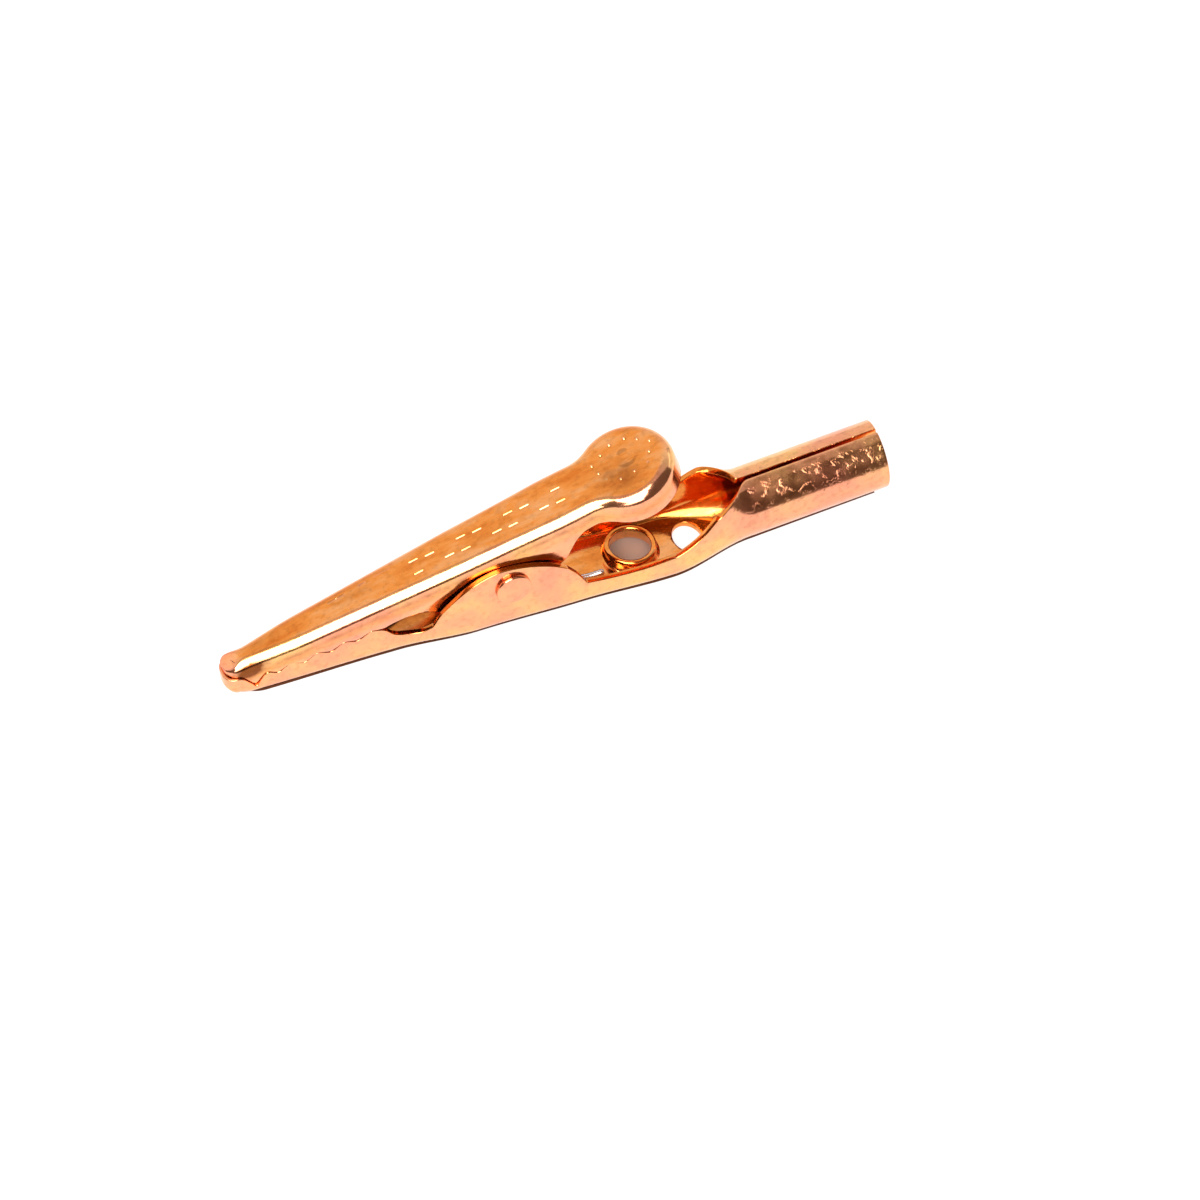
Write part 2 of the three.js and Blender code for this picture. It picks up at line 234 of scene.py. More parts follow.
def outer_half(x):
    """Half the lower jaw's outer width at x."""
    half = straight(x, TIP_X, THROAT_X, NOSE_HALF, THROAT_HALF)
    half = np.where(x > THROAT_X, eased(x, THROAT_X, CHEEK_X, THROAT_HALF, CHEEK_HALF), half)
    half = np.where(x > CHEEK_X, eased(x, PIVOT_X, BODY_X, CHEEK_HALF, BODY_HALF), half)
    return np.where(x > BODY_END_X, eased(x, BODY_END_X, BARREL_X, BODY_HALF, BARREL_RADIUS), half)


def section(x):
    """Half width, floor, ceiling, corner radius and lean of the outer skin at x."""
    half = outer_half(x)
    axis = straight(x, BARREL_X, END_X, BARREL_AXIS_Z, BARREL_END_AXIS_Z)
    rolled = x > BARREL_X
    floor = np.where(rolled, axis - half, underside(x))
    top = BARREL_AXIS_Z + BARREL_RADIUS
    ceiling = np.where(rolled, axis + half, eased(x, BODY_END_X, BARREL_X, FOLD_TOP, top))
    corner = eased(x, BODY_END_X, BARREL_X, FOLD, BARREL_RADIUS)
    lean = np.minimum(eased(x, THROAT_X, CHEEK_X, 0, LEAN), eased(x, 1.0, BODY_X, LEAN, 0))
    return half, floor, ceiling, corner, lean


def round_section(s, half, floor, ceiling, corner, lean):
    """Point of the section at distance s from the middle of the floor, as y and z."""
    side, s = np.sign(s), np.abs(s)
    flat = half - corner
    arc = corner * math.pi / 2
    wall = ceiling - floor - 2 * corner
    a = np.clip((s - flat) / corner, 0, math.pi / 2)
    b = np.clip((s - flat - arc - wall) / corner, 0, math.pi / 2)
    back = np.clip(s - flat - 2 * arc - wall, 0, None)
    y = np.minimum(s, flat) + corner * np.sin(a) - corner * (1 - np.cos(b)) - back
    z = floor + corner * (1 - np.cos(a)) + np.clip(s - flat - arc, 0, wall) + corner * np.sin(b)
    return side * (y - lean * np.clip(z - LEAN_FROM, 0, None)), z


def lower_skin(p):
    """Outer skin of the lower jaw at (x, s)."""
    x, s = p[:, 0], p[:, 1]
    y, z = round_section(s, *section(x))
    reach = np.hypot(x - COLLAR_X, s)
    inside = reach < COLLAR_REACH
    run = np.where(inside, (COLLAR_REACH - reach) * COLLAR_SQUEEZE, 0)
    bend = np.clip(run / COLLAR_BEND, 0, math.pi / 2)
    radius = COLLAR_REACH - COLLAR_BEND * np.sin(bend)
    rise = COLLAR_BEND * (1 - np.cos(bend)) + np.clip(run - COLLAR_BEND * math.pi / 2, 0, None)
    pull = np.where(inside, radius / np.maximum(reach, 1e-6), 1)
    x = np.where(inside, COLLAR_X + (x - COLLAR_X) * pull, x)
    y = np.where(inside, s * pull, y)
    return np.stack([x, y, z + rise], axis=1)


def s_of_height(x, z):
    """Distance round the section at which the skin at x reaches height z, or the seam's lip."""
    out = []
    for xi, zi in zip(x, z):
        parts = [float(v) for v in section(np.array(xi))]
        half, floor, ceiling, corner, _ = parts
        full = 2 * (half - corner) + corner * math.pi + ceiling - floor - 2 * corner
        s = np.linspace(0, full - SEAM_HALF, 400)
        heights = round_section(s, *parts)[1]
        out.append(np.interp(zi, heights, s) if zi < heights[-1] else s[-1])
    return np.array(out)


def parting_line(start_x, lift):
    """The wavy line between the jaws, from start_x to the last crest, with rounded crests."""
    points = [(start_x, NOSE_PARTING_Z), (ROOTS[0][0] - 1.0, NOSE_PARTING_Z)]
    for root, crest in zip(ROOTS, CRESTS):
        points += [root, crest]
    line = softened(resampled(points, 0.05), 32)
    x = line[:, 0]
    opening = 1 + eased(x, -20, -18.5, 0, 5) + eased(x, -23, -22, 3, 0)
    line[:, 1] += lift * opening
    return line


def lower_edge(near):
    """The lower jaw's edge as (x, s), from the nose cap to the end of the barrel."""
    teeth = parting_line(CAP_X, -PARTING_GAP)
    parts = [teeth[:-1], spline([tuple(teeth[-1])] + WIRE_GAP)]
    for stop in (EAR, EAR_BACK, RAIL) if near else (EAR, EAR_BACK, RAIL, FAR_RISE):
        parts.append(spline([tuple(parts[-1][-1])] + stop)[1:])
    if not near:
        parts.append([(BARREL_END, 2 * FOLD_TOP)])
    x, z = np.vstack(parts).T
    line = np.stack([x, s_of_height(x, z)], axis=1)
    if near:
        lip_x = np.array([NEAR_LIP_X, BARREL_END])
        lip = np.stack([lip_x, s_of_height(lip_x, np.full(2, 2 * FOLD_TOP))], axis=1)
        line = np.vstack([line, spline([tuple(line[-1])] + NEAR_RISE + [tuple(lip[0])])[1:], lip[1:]])
    return resampled(line, BOUNDARY_STEP)


# ---- Flat domains: loops, rings beside their edges, and a grid between, as triangles ----
def to_segments(points, a, b, chunk=4000):
    """Distance from each point to the nearest of the segments a-b."""
    out = np.empty(len(points))
    d = b - a
    length = np.maximum((d**2).sum(1), 1e-12)
    for i in range(0, len(points), chunk):
        q = points[i : i + chunk, None, :] - a[None]
        t = np.clip((q * d).sum(2) / length, 0, 1)
        out[i : i + chunk] = np.sqrt(((q - t[..., None] * d) ** 2).sum(2).min(1))
    return out


def is_inside(points, loops, chunk=4000):
    """Whether each point lies inside the outer loop and outside the holes."""
    a = np.vstack(loops)
    b = np.vstack([np.roll(loop, -1, axis=0) for loop in loops])
    out = np.empty(len(points), bool)
    dy = np.where(b[:, 1] == a[:, 1], 1e-30, b[:, 1] - a[:, 1])
    for i in range(0, len(points), chunk):
        x, y = points[i : i + chunk, 0, None], points[i : i + chunk, 1, None]
        spans = (a[:, 1] > y) != (b[:, 1] > y)
        crossing = a[:, 0] + (y - a[:, 1]) * (b[:, 0] - a[:, 0]) / dy
        out[i : i + chunk] = (spans & (x < crossing)).sum(1) % 2 == 1
    return out


def hex_grid(low, high, step_x, step_y):
    """A grid of points with every other row moved by half a step."""
    xs = np.arange(low[0], high[0], step_x)
    ys = np.arange(low[1], high[1], step_y)
    grid = np.stack(np.meshgrid(xs, ys, indexing="ij"), axis=2)
    grid[:, 1::2, 0] += step_x / 2
    return grid.reshape(-1, 2)


def rings_beside(loop, is_free, offsets, a, b):
    """Points inward of a loop's free edges, which run anticlockwise round the sheet."""
    ahead = np.roll(loop, -1, axis=0) - np.roll(loop, 1, axis=0)
    ahead /= np.linalg.norm(ahead, axis=1, keepdims=True)
    inward = np.stack([-ahead[:, 1], ahead[:, 0]], axis=1)
    out = []
    for offset in offsets:
        moved = (loop + inward * offset)[is_free]
        keep = to_segments(moved, a, b) > 0.93 * offset
        out.append(moved[keep])
    return np.vstack(out)


def flat_mesh(loops, free, grid, spare=()):
    """Triangles of the region inside loops[0] and outside the other loops.

    Each loop runs with the sheet on its left. free[i] says which points of loop i lie on a cut
    edge rather than on a line that is welded to the next domain. The grid's points and the spare
    ones fill the region. Returns points, triangles and each point's distance to a cut edge."""
    loops = [np.array(loop, float) for loop in loops]
    a, b = np.vstack(loops), np.vstack([np.roll(loop, -1, axis=0) for loop in loops])
    flags = np.concatenate(free)
    both = flags & np.concatenate([np.roll(f, -1) for f in free])
    cut = [(loop, f) for loop, f in zip(loops, free) if f.any()]
    rings = [rings_beside(loop, f, EDGE_RINGS, a[both], b[both]) for loop, f in cut]
    inner = np.vstack([grid] + list(spare))
    inner = inner[is_inside(inner, loops)]
    if both.any():
        inner = inner[to_segments(inner, a[both], b[both]) > EDGE_ROUND + 0.05]
    inner = inner[to_segments(inner, a, b) > 0.05]
    if rings:
        rings = np.vstack(rings)
        rings = rings[is_inside(rings, loops)]
        welded = ~both
        if welded.any():
            rings = rings[to_segments(rings, a[welded], b[welded]) > 0.03]
        inner = np.vstack([rings, inner])
    points = np.vstack([a, inner])
    edges, start = [], 0
    for loop in loops:
        n = len(loop)
        edges += [(start + i, start + (i + 1) % n) for i in range(n)]
        start += n
    made = delaunay_2d_cdt([Vector(p) for p in points], edges, [], 0, 1e-7, False)
    points = np.array([tuple(v) for v in made[0]])
    triangles = np.array([f for f in made[2] if len(f) == 3])
    centres = points[triangles].mean(1)
    triangles = triangles[is_inside(centres, loops)]
    distance = np.full(len(points), FAR_FROM_EDGE)
    if both.any():
        distance = to_segments(points, a[both], b[both])
    return points, triangles, distance


class Skin:
    """An outer skin in parts: points, triangles facing out, edge distance and sheet thickness.

    The points marked as borders are welded wherever they meet."""

    def __init__(self):
        self.points = np.empty((0, 3))
        self.triangles = np.empty((0, 3), int)
        self.edge = np.empty(0)
        self.thick = np.empty(0)
        self.tarnish_and_painted_light = np.empty(0)
        self.border = np.empty(0, bool)

    def add(self, points, triangles, edge, thick, border, tarnish_and_painted_light=0.0):
        self.triangles = np.vstack([self.triangles, triangles + len(self.points)])
        self.points = np.vstack([self.points, points])
        self.edge = np.concatenate([self.edge, edge])
        self.thick = np.concatenate([self.thick, thick])
        self.border = np.concatenate([self.border, border])
        self.tarnish_and_painted_light = np.concatenate([self.tarnish_and_painted_light, np.broadcast_to(tarnish_and_painted_light, len(points))])

    def weld(self):
        """Joins border points that lie within a fraction of a micrometre of each other."""
        border = np.where(self.border)[0]
        p = self.points[border]
        target = np.arange(len(self.points))
        for i, index in enumerate(border):
            first = np.argmax(np.abs(p - p[i]).sum(1) < 3e-4)
            target[index] = border[first]
        self.triangles = target[self.triangles]

    def compact(self):
        """Drops triangles that welding has closed up, and unused points."""
        closed = (self.triangles == np.roll(self.triangles, 1, axis=1)).any(1)
        used, index = np.unique(self.triangles[~closed], return_inverse=True)
        self.points, self.edge = self.points[used], self.edge[used]
        self.thick, self.tarnish_and_painted_light = self.thick[used], self.tarnish_and_painted_light[used]
        self.triangles = index.reshape(-1, 3)

    def normals(self):
        a, b, c = (self.points[self.triangles[:, k]] for k in range(3))
        face = np.cross(b - a, c - a)
        out = np.zeros_like(self.points)
        for k in range(3):
            np.add.at(out, self.triangles[:, k], face)
        return out / np.maximum(np.linalg.norm(out, axis=1, keepdims=True), 1e-12)


def to_frame(points):
    """Points in the layout's millimetres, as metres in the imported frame, which is centred."""
    return (np.asarray(points, float) + [CENTRING, 0, 0]) * MM


def tube_faces(rings, count):
    """Quads that join successive rings of `count` points each."""
    faces = []
    for i in range(rings - 1):
        for j in range(count):
            k = (j + 1) % count
            faces.append((i * count + j, i * count + k, (i + 1) * count + k, (i + 1) * count + j))
    return faces


def mesh_object(name, points, faces, material):
    mesh = bpy.data.meshes.new(name)
    mesh.from_pydata(to_frame(points).tolist(), [], [list(map(int, f)) for f in faces])
    mesh.validate()
    mesh.shade_smooth()
    mesh.materials.append(material)
    piece = bpy.data.objects.new(name, mesh)
    bpy.context.scene.collection.objects.link(piece)
    return piece


def sheet_object(name, skin, material, stains_and_shade):
    """The skin as a sheet of its own thickness with rounded cut edges.

    Its inner skin and most of its cut edges are fully tarnished, which on the inner skin is partly
    painted shade, and `stains_and_shade` gives the dark patches: real stains and painted shade."""
    skin.weld()
    skin.compact()
    normals = skin.normals()
    depth = np.clip(EDGE_ROUND - skin.edge, 0, EDGE_ROUND)
    drawn_in = EDGE_ROUND - np.sqrt(EDGE_ROUND**2 - depth**2)
    outer = skin.points - normals * drawn_in[:, None]
    inner = skin.points - normals * (skin.thick - drawn_in)[:, None]
    count = len(outer)
    edges = {}
    for tri in skin.triangles:
        for i in range(3):
            pair = (tri[i], tri[(i + 1) % 3])
            edges[pair] = pair[::-1]
    rim = [pair for pair, back in edges.items() if back not in edges]
    faces = [tuple(t) for t in skin.triangles]
    faces += [(t[2] + count, t[1] + count, t[0] + count) for t in skin.triangles]
    faces += [(b, a, a + count, b + count) for a, b in rim]
    piece = mesh_object(name, np.vstack([outer, inner]), faces, material)
    # The cut edges are brighter along the teeth, and the inside is darker ahead of the pivot, painted
    # shade inside the jaws.
    x = skin.points[:, 0]
    toothed = np.maximum(eased(x, -20, -18.5, 0.1, 0.6), eased(x, -14, -13, 0, 1))
    rim_share = eased(skin.edge, 0, EDGE_ROUND, 1, 0) * toothed
    dulled = np.concatenate([np.maximum(skin.tarnish_and_painted_light, rim_share), np.ones(count)])
    set_attribute(piece, "tarnish_and_painted_light", dulled)
    set_attribute(piece, "stains_and_shade", np.concatenate([stains_and_shade(skin.points), eased(x, -9, -7, 0.6, 0.1)]))
    return piece


def set_attribute(piece, name, values):
    attribute = piece.data.attributes.new(name, "FLOAT", "POINT")
    attribute.data.foreach_set("value", np.asarray(values, np.float32))


def lower_jaw_skin():
    """The jaw's whole outer skin from one flat blank in (x, s), with its cap at the nose."""
    top = lower_edge(near=False)
    bottom = lower_edge(near=True) * [1, -1]
    end = resampled([bottom[-1], top[-1]], BOUNDARY_STEP)[1:-1]
    nose_s = top[0, 1]
    cap_s = np.append(up_to_edge(np.linspace(0, nose_s - EDGE_ROUND, 34), nose_s), nose_s)
    nose = np.array([(CAP_X, v) for v in np.concatenate([cap_s[::-1], -cap_s[1:]])])[1:-1]
    # Anticlockwise: along the -s side to the end, up the end, back along the +s side, down the nose.
    outline = np.vstack([bottom, end, top[::-1], nose])
    is_free = np.ones(len(outline), bool)
    is_free[len(outline) - len(nose) :] = False
    circle = unit_circle()
    clockwise = circle[::-1]
    collar = np.array([COLLAR_X, 0]) + clockwise * COLLAR_INNER
    plain = np.array([PLAIN_X, 0]) + clockwise * [PLAIN_HALF_LENGTH, PLAIN_HALF_WIDTH]
    # The collar's rim gets rings of its own below, so it isn't marked as free.
    all_free = np.ones(CIRCLE_COUNT, bool)
    loops, free = [outline, collar, plain], [is_free, ~all_free, all_free]
    for side in (1, -1):
        bore_z = PIVOT_Z + clockwise[:, 1] * BORE_RADIUS
        bore_x = PIVOT_X + clockwise[:, 0] * BORE_RADIUS
        bore = np.stack([bore_x, side * s_of_height(bore_x, bore_z)], axis=1)
        loops.append(bore if side > 0 else bore[::-1])
        free.append(all_free)
    grid = hex_grid((CAP_X, -10), (BARREL_END, 10), 0.25, 0.125)
    grid = grid[np.hypot(grid[:, 0] - COLLAR_X, grid[:, 1]) > COLLAR_REACH + 0.08]
    run = up_to_edge(np.linspace(0, COLLAR_LENGTH - EDGE_ROUND, 13), COLLAR_LENGTH)
    radii = COLLAR_REACH - run / COLLAR_SQUEEZE
    rings = [np.array([COLLAR_X, 0]) + circle * radius for radius in radii]
    points, triangles, distance = flat_mesh(loops, free, grid, rings)
    reach = np.hypot(points[:, 0] - COLLAR_X, points[:, 1])
    on_collar = reach < COLLAR_REACH + 0.01
    distance = np.where(on_collar, (reach - COLLAR_INNER) * COLLAR_SQUEEZE, distance)
    thick = eased(reach, COLLAR_INNER, COLLAR_REACH, COLLAR_WALL, LOWER_SHEET)
    skin = Skin()
    border = np.abs(points[:, 0] - CAP_X) < 1e-5
    skin.add(lower_skin(points), triangles[:, ::-1], np.clip(distance, 0, None), thick, border)
    add_nose_cap(skin, cap_s, nose_s)
    return skin


def add_nose_cap(skin, cap_s, nose_s):
    """Closes the front of the lower jaw: the section at CAP_X swept round the nose."""
    parts = section(np.array([CAP_X]))
    half = float(parts[0][0])
    y, z = round_section(cap_s, *[v[0] for v in parts])
    turns = np.linspace(0, math.pi, 49)
    points, edge = [], []
    for angle in turns:
        across = np.sign(math.cos(angle)) * abs(math.cos(angle)) ** (2 / CAP_POWER)
        ahead = abs(math.sin(angle)) ** (2 / CAP_POWER)
        share = y / half
        chin = CHIN_LIFT * (share * ahead) ** 2 * (1 - z / z[-1]) ** 2
        rows = np.stack([CAP_X - CAP_LENGTH * share * ahead, half * share * across, z + chin], axis=1)
        points.append(rows)
        edge.append(nose_s - cap_s)
    width = len(cap_s)
    triangles = []
    for i in range(len(turns) - 1):
        for j in range(width - 1):
            a, d = i * width + j, (i + 1) * width + j
            triangles += [(a, a + 1, d + 1), (a, d + 1, d)]
    triangles = np.array(triangles)[:, ::-1]
    points = np.vstack(points)
    border = np.zeros((len(turns), width), bool)
    border[0], border[-1], border[:, 0] = True, True, True
    skin.add(points, triangles, np.concatenate(edge), np.full(len(points), LOWER_SHEET), border.ravel())


# ---- Upper jaw: a top plate and a skirt, folded down along the plan outline ----
def flare(plan):
    """How far across each point of the arm's top edge moves, out beyond the foot of the skirt."""
    u, v = plan.T
    reach = ARM_FLARE * eased(u, -25.2, -20, 0, 1) * eased(u, -9, -2, 1, 0.62) * eased(u, -1, 3, 1, 0)
    return np.clip(v / FLARE_BLEND, -1, 1) * reach


def arm_half(u):
    """Half the arm's width at u, before its edge is flared."""
    return ARM_HALF_AT_PIVOT + ARM_TAPER * (u * COS_SLOPE - PIVOT_X)


def arc_points(centre, radius, start, end):
    count = max(6, int(abs(end - start) * radius / 0.03))
    angle = np.linspace(start, end, count)
    return np.array(centre) + radius * np.stack([np.cos(angle), np.sin(angle)], axis=1)


def plan_outline():
    """The outer plan outline, anticlockwise from the back of the pad, as evenly spaced (u, v)."""
    reach = PAD_RADIUS + NECK_ROUND
    offset = arm_half(PAD_U) + NECK_ROUND * math.hypot(1, TAPER_U)
    a = 1 + TAPER_U**2
    back = (-offset * TAPER_U - math.sqrt(a * reach**2 - offset**2)) / a
    neck_u, neck_v = PAD_U + back, math.sqrt(reach**2 - back**2)
    meet = math.atan2(neck_v, back)
    lean = math.atan(TAPER_U)
    far, near = FAR_NOSE_CORNER, NEAR_NOSE_CORNER
    half = arm_half(NOSE_U)
    parts = [
        arc_points((PAD_U, 0), PAD_RADIUS, 0, meet),
        arc_points((neck_u, neck_v), NECK_ROUND, meet - math.pi, -math.pi / 2 - lean),
        arc_points((NOSE_U + far, half - far), far, math.pi / 2, math.pi),
        arc_points((NOSE_U + near, near - half), near, math.pi, 1.5 * math.pi),
        arc_points((neck_u, -neck_v), NECK_ROUND, math.pi / 2 + lean, math.pi - meet),
        arc_points((PAD_U, 0), PAD_RADIUS, -meet, 0),
    ]
    line = resampled(np.vstack(parts), OUTLINE_STEP)
    line[:, 1] += flare(line)
    return line


def upper_edge():
    """The upper jaw's edge as (x, z), from in front of the nose to behind the pad."""
    teeth = parting_line(TIP_X - 2, PARTING_GAP)
    angles = np.linspace(-0.6 * math.pi, -0.1 * math.pi, 24)
    round_ear = UPPER_EAR_RADIUS * np.stack([np.cos(angles), np.sin(angles)], axis=1)
    ear = np.array([PIVOT_X, PIVOT_Z]) + round_ear
    gap = spline([tuple(teeth[-1])] + UPPER_WIRE_GAP)[1:]
    rear = spline([tuple(ear[-1])] + UPPER_REAR)[1:]
    skirt = spline([tuple(rear[-1])] + UPPER_SKIRT)[1:]
    return np.vstack([teeth, gap, ear, rear, skirt])


def pressed(points):
    """Bends the front of the nose down to a slanting facet."""
    out = points.copy()
    facet = PRESS_Z + PRESS_SLOPE * (points[:, 0] - PRESS_X) + PRESS_SKEW * points[:, 1]
    gap = points[:, 2] - facet
    over = (gap + np.sqrt(gap**2 + PRESS_BLEND**2)) / 2
    near_nose = points[:, 0] < PRESS_X + 2
    out[:, 2] -= np.where(near_nose, over, 0)
    return out


def from_plan(u, v, depth):
    """A point at u, v on the top plane and `depth` below it."""
    x = u * COS_SLOPE + depth * SIN_SLOPE
    z = TOP_AT_ORIGIN + u * SIN_SLOPE - depth * COS_SLOPE
    return np.stack([x, v, z], axis=1)


def to_plan(x, z):
    """The distance u along the top plane and the depth below it of the places at x, z."""
    u = x * COS_SLOPE + (z - TOP_AT_ORIGIN) * SIN_SLOPE
    return u, x * SIN_SLOPE - (z - TOP_AT_ORIGIN) * COS_SLOPE


def stroke(u, v, a, b):
    """How strongly a stamped stroke from a to b marks each point, 0 to 1."""
    a, b = np.array(a), np.array(b)
    d = b - a
    t = np.clip(((u - a[0]) * d[0] + (v - a[1]) * d[1]) / (d @ d), 0, 1)
    gap = np.hypot(u - a[0] - t * d[0], v - a[1] - t * d[1])
    return np.clip(1 - (gap / MARK_HALF_WIDTH) ** 2, 0, 1)


def arm_marks(u, v):
    """Two rows of plain stamped dashes and a few scratches, as depths from 0 to 1."""
    depth = np.zeros_like(u)
    for i in range(DASH_COUNT):
        start = DASH_FIRST_U + i * DASH_STEP
        row = 0.45 if i % 3 else 0.58
        for side in (-1, 1):
            if (i + side) % 3:
                dash = stroke(u, v, (start, side * row), (start + DASH_LENGTH, side * row))
                depth = np.maximum(depth, dash)
    for start, end in SCRATCHES:
        depth = np.maximum(depth, 0.8 * stroke(u, v, start, end))
    return depth


def top_relief(u, v):
    """Height of the top plate above its plane: the pad's hollow, ring and dots, and the arm's marks."""
    relief = -PAD_HOLLOW * np.exp(-((np.hypot(u - PAD_U, v) / PAD_HOLLOW_RADIUS) ** 4))
    r = np.hypot(u - DIMPLE_U, v - DIMPLE_V)
    relief += DIMPLE_HEIGHT * np.exp(-(((r - DIMPLE_RADIUS) / DIMPLE_WIDTH) ** 2))
    for i, (dot_u, dot_v) in enumerate(dots()):
        gap = np.hypot(u - dot_u, v - dot_v)
        relief += DOT_DEPTH * (1 - 0.3 * (i % 3 == 1)) * np.exp(-((gap / DOT_RADIUS) ** 2))
    return relief - MARK_DEPTH * arm_marks(u, v)


def dots():
    """The middles of the raised dots round the thumb pad."""
    angles = 2 * math.pi * (np.arange(DOT_COUNT) + 0.35) / DOT_COUNT
    reach = 1 + 0.08 * np.cos(2.5 * np.arange(DOT_COUNT))
    u, v = DOT_RING_U * reach * np.cos(angles), DOT_RING_V * reach * np.sin(angles)
    return np.stack([RING_U + u, RING_V + v], axis=1)


def rings_of_points(centre, radii):
    """A point and growing rings of points round it."""
    out = [np.array([centre])]
    for i, radius in enumerate(radii):
        turn = (np.arange(8 + 3 * i) + 0.5 * i) * 2 * math.pi / (8 + 3 * i)
        out.append(np.array(centre) + radius * np.stack([np.cos(turn), np.sin(turn)], axis=1))
    return np.vstack(out)


class Fold:
    """The sheet from the plan outline down: a runs along the outline, and w down the bend and wall."""

    def __init__(self, outline):
        ahead = np.gradient(outline, axis=0)
        ahead /= np.linalg.norm(ahead, axis=1, keepdims=True)
        ahead[0] = ahead[-1] = (0, 1)
        u, v = outline.T
        sharp = eased(u, NOSE_U + 0.4, NOSE_U + 2.0, 1, 0) * eased(v, -0.9, 0.3, 0, 1)
        self.outline = outline
        self.normal = np.stack([ahead[:, 1], -ahead[:, 0]], axis=1)
        self.radius = ARM_FOLD + (NOSE_FOLD - ARM_FOLD) * sharp
        self.along = np.linspace(0, 1, len(outline)) * OUTLINE_STEP * (len(outline) - 1)
        self.stops = np.linspace(0, self.along[-1], int(self.along[-1] / 0.14))

    def at(self, a, values):
        return np.interp(a, self.along, values)

    def run(self, depth):
        """How far down the sheet each point of the outline reaches the given depth."""
        r = self.radius
        bend = np.arccos(np.clip(1 - depth / r, 0, 1))
        return np.where(depth < r, r * bend, r * math.pi / 2 + depth - r)

    def point(self, a, w):
        """The plan place (u, v) and the depth of each point of the sheet."""
        r = self.at(a, self.radius)
        bend = np.clip(w / r, 0, math.pi / 2)
        inset = r * (1 - np.sin(bend))
        down = r * (1 - np.cos(bend)) + np.clip(w - r * math.pi / 2, 0, None)
        n = np.stack([self.at(a, self.normal[:, k]) for k in range(2)], axis=1)
        n /= np.linalg.norm(n, axis=1, keepdims=True)
        p = np.stack([self.at(a, self.outline[:, k]) for k in range(2)], axis=1)
        p = p - n * inset[:, None]
        p[:, 1] -= flare(p) * eased(down, FLARE_FROM, FLARE_TO, 0, 1)
        return p, down

    def bore(self, side):
        """The pivot hole's outline as (a, w) on one wall."""
        u, depth = to_plan(*(np.array([PIVOT_X, PIVOT_Z]) + BORE_RADIUS * unit_circle()).T)
        wall = (self.outline[:, 1] * side > 0) & (self.outline[:, 0] < 2)
        order = np.argsort(self.outline[wall, 0])
        a = np.interp(u, self.outline[wall, 0][order], self.along[wall][order])
        loop = np.stack([a, ARM_FOLD * math.pi / 2 + depth - ARM_FOLD], axis=1)
        area = np.sum(loop[:, 0] * np.roll(loop[:, 1], -1) - np.roll(loop[:, 0], -1) * loop[:, 1])
        return loop[::-1] if area > 0 else loop


def upper_jaw_skin():
    """The arm's top plate and the skirt folded down round it."""
    fold = Fold(plan_outline())
    skin = Skin()
    add_top_plate(skin, fold)
    add_skirt(skin, fold)
    return skin


def add_top_plate(skin, fold):
    """The plate inside the bend line, with its relief."""
    edge, _ = fold.point(fold.stops[:-1], np.zeros(len(fold.stops) - 1))
    grid = hex_grid(edge.min(0), edge.max(0), 0.1, 0.1)
    marked = ((grid > MARKED_LOW) & (grid < MARKED_HIGH)).all(1)
    grid = np.vstack([grid[~marked], hex_grid(MARKED_LOW, MARKED_HIGH, 0.05, 0.05)])
    grid = grid[np.min([np.hypot(*(grid - dot).T) for dot in dots()], axis=0) > 0.19]
    fine = [rings_of_points(dot, (0.035, 0.07, 0.11, 0.15)) for dot in dots()]
    plan, triangles, _ = flat_mesh([edge], [np.zeros(len(edge), bool)], grid, fine)
    welded = to_segments(plan, edge, np.roll(edge, -1, axis=0)) < 1e-5
    height = np.where(welded, 0, top_relief(*plan.T))
    points = pressed(from_plan(*plan.T, -height))
    dulled = top_tarnish_and_facet_sheen(points) * (1 - 0.9 * bright_marks(plan))
    distance = np.full(len(points), FAR_FROM_EDGE)
    skin.add(points, triangles, distance, nose_thickness(points), welded, dulled)


def add_skirt(skin, fold):
    """The bend and the wall below it, down to the jaw's lower edge."""
    run = fold.run(np.interp(fold.outline[:, 0], *to_plan(*upper_edge().T)))
    length = fold.along[-1]
    cut = resampled(np.stack([fold.along, run], axis=1), BOUNDARY_STEP)
    bend_line = np.stack([fold.stops, np.zeros_like(fold.stops)], axis=1)
    rise = up_to_edge(np.linspace(0, run[0] - EDGE_ROUND, int(run[0] / 0.1))[1:], run[0])
    left = np.stack([np.zeros_like(rise), rise], axis=1)
    loop = np.vstack([bend_line, left + [length, 0], cut[::-1], left[::-1]])
    cut_start = len(bend_line) + len(left)
    is_free = np.zeros(len(loop), bool)
    is_free[cut_start : cut_start + len(cut)] = True
    free = [is_free] + [np.ones(CIRCLE_COUNT, bool)] * 2
    grid = hex_grid((0, 0), (length, run.max()), 0.22, 0.11)
    flat, triangles, distance = flat_mesh([loop, fold.bore(1), fold.bore(-1)], free, grid)
    a, w = flat.T
    plan, down = fold.point(a, w)
    points = pressed(from_plan(*plan.T, down))
    border = (w < 1e-5) | (a < 1e-5) | (a > length - 1e-5)
    bend_share = np.clip(w / (fold.at(a, fold.radius) * math.pi / 2), 0, 1)
    # The top's tarnish ends early on the near side's bend, a painted highlight that keeps the bend's
    # reflection white there, and a faint band of painted shade lies on the wall.
    fade_end = eased(points[:, 1], -1.5, 0.5, 0.25, 0.8)
    dulled = eased(bend_share, 0, fade_end, 1, 0) * top_tarnish_and_facet_sheen(points)
    dulled += 0.5 * np.exp(-(((down - 1.35) / 0.4) ** 2))
    skin.add(points, triangles[:, ::-1], distance, nose_thickness(points), border, dulled)


